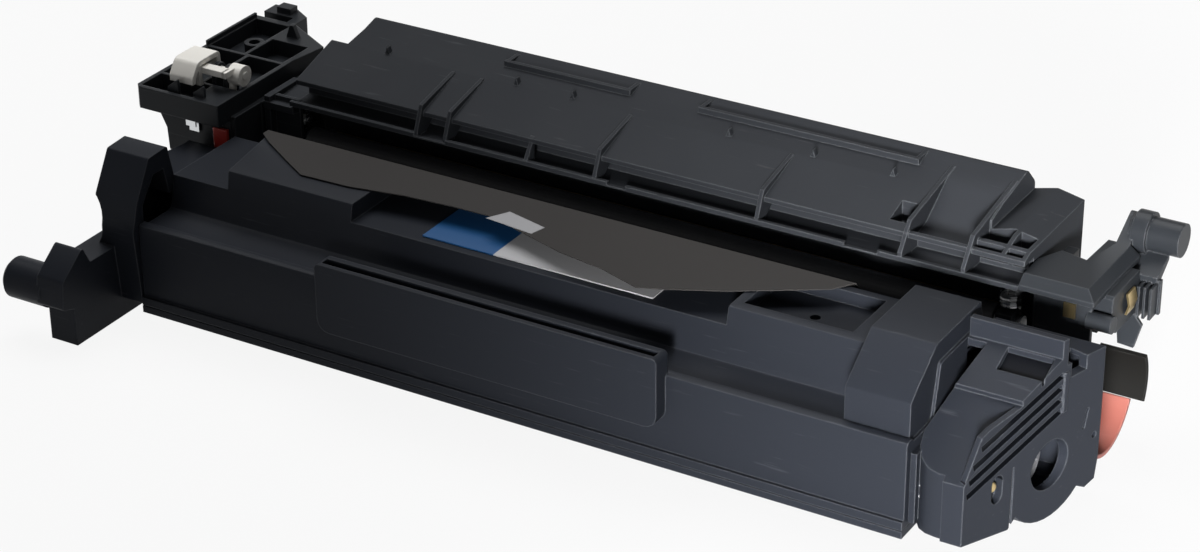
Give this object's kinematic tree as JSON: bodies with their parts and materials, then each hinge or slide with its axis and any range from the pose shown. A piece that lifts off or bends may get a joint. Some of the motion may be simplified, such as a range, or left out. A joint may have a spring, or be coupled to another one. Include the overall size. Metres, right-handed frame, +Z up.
{
  "type": "toner cartridge",
  "caption": "Laser printer toner cartridge: toner hopper with grip and end caps in front, drum unit with waste box behind, drum under a clip-on shield",
  "frame": {"origin": "middle of the bounding box in plan, on the surface that the cartridge lies on", "axes": "+X along the cartridge towards the driven end, -Y towards the hopper's front panel, +Z up"},
  "size_m": [0.325, 0.147, 0.0659],
  "materials": {
    "black_plastic": "moulded, fine spark-eroded grain",
    "dark_plastic": "moulded, satin",
    "black_film": "thin film",
    "label_film": "film label with plain colour fields",
    "brass": "bright",
    "grey_gear": "acetal",
    "white_gear": "acetal",
    "agitator_plastic": "natural acetal",
    "sleeve_coating": "blasted and coated",
    "steel": "plain",
    "plug_plastic": "plain",
    "blade_rubber": "plain",
    "drum_coating": "smooth blue-green coating",
    "charge_rubber": "smooth, matte",
    "blade_urethane": "translucent amber",
    "white_plastic": "plain",
    "red_plastic": "plain",
    "orange_plastic": "smooth",
    "grey_paper": "thin grey protective paper"
  },
  "bodies": {
    "frame": {"hopper_housing": "black_plastic", "hopper_base": "black_plastic", "left_end_cover": "black_plastic", "right_end_cap": "black_plastic", "waste_housing": "black_plastic", "left_bracket": "dark_plastic", "right_bracket": "dark_plastic", "charge_bearing_left": "dark_plastic", "charge_bearing_right": "dark_plastic", "end_film": "black_film", "hopper_label": "label_film", "cap_screw": "brass", "sleeve_bush_left": "brass", "sleeve_bush_right": "brass", "charge_contact": "brass", "sleeve_contact": "brass", "magnet_core": "steel", "fill_plug": "plug_plastic", "blade_holder": "steel", "metering_blade": "blade_rubber", "drum_pin": "steel", "charge_spring_left": "steel", "charge_spring_right": "steel", "cleaning_blade": "blade_urethane", "blade_bracket": "steel", "red_tab": "red_plastic", "drum_contact": "steel", "drum_shield": "orange_plastic", "protective_sheet": "grey_paper"},
    "drum": {"photosensitive_drum": "drum_coating", "drum_end_flange": "dark_plastic", "drum_drive_flange": "dark_plastic"},
    "charge_roller_set": {"charge_roller": "charge_rubber", "charge_shaft": "steel"},
    "sleeve_set": {"developer_sleeve": "sleeve_coating", "sleeve_gear": "white_gear"},
    "coupling": {"drive_coupling": "grey_gear"},
    "agitator_set": {"agitator": "agitator_plastic", "agitator_gear": "white_gear"},
    "lever": {"white_lever": "white_plastic"}
  },
  "joints": [
    {"name": "drum_spin", "type": "hinge", "parent": "frame", "child": "drum", "pos_m": [0, 0.0285, 0.017], "axis": [1, 0, 0], "continuous": true},
    {"name": "charge_roller_spin", "type": "hinge", "parent": "frame", "child": "charge_roller_set", "pos_m": [0, 0.027, 0.03393], "axis": [1, 0, 0], "continuous": true},
    {"name": "coupling_spin", "type": "hinge", "parent": "frame", "child": "coupling", "pos_m": [0.1302, -0.01219, 0.017], "axis": [1, 0, 0], "continuous": true},
    {"name": "sleeve_spin", "type": "hinge", "parent": "frame", "child": "sleeve_set", "pos_m": [0, 0.01001, 0.0165], "axis": [1, 0, 0], "continuous": true},
    {"name": "agitator_spin", "type": "hinge", "parent": "frame", "child": "agitator_set", "pos_m": [0, -0.03339, 0.017], "axis": [1, 0, 0], "continuous": true},
    {"name": "lever_tilt", "type": "hinge", "parent": "frame", "child": "lever", "pos_m": [-0.1505, 0.015, 0.0575], "axis": [1, 0, 0], "range_deg": [-8, 8], "stiffness_Nm_per_rad": 0.02}
  ],
  "couplings": [
    {"joint": "charge_roller_spin", "follows": "drum_spin", "ratio": -2.5532},
    {"joint": "sleeve_spin", "follows": "coupling_spin", "ratio": -1.4444},
    {"joint": "agitator_spin", "follows": "coupling_spin", "ratio": -1.625}
  ]
}
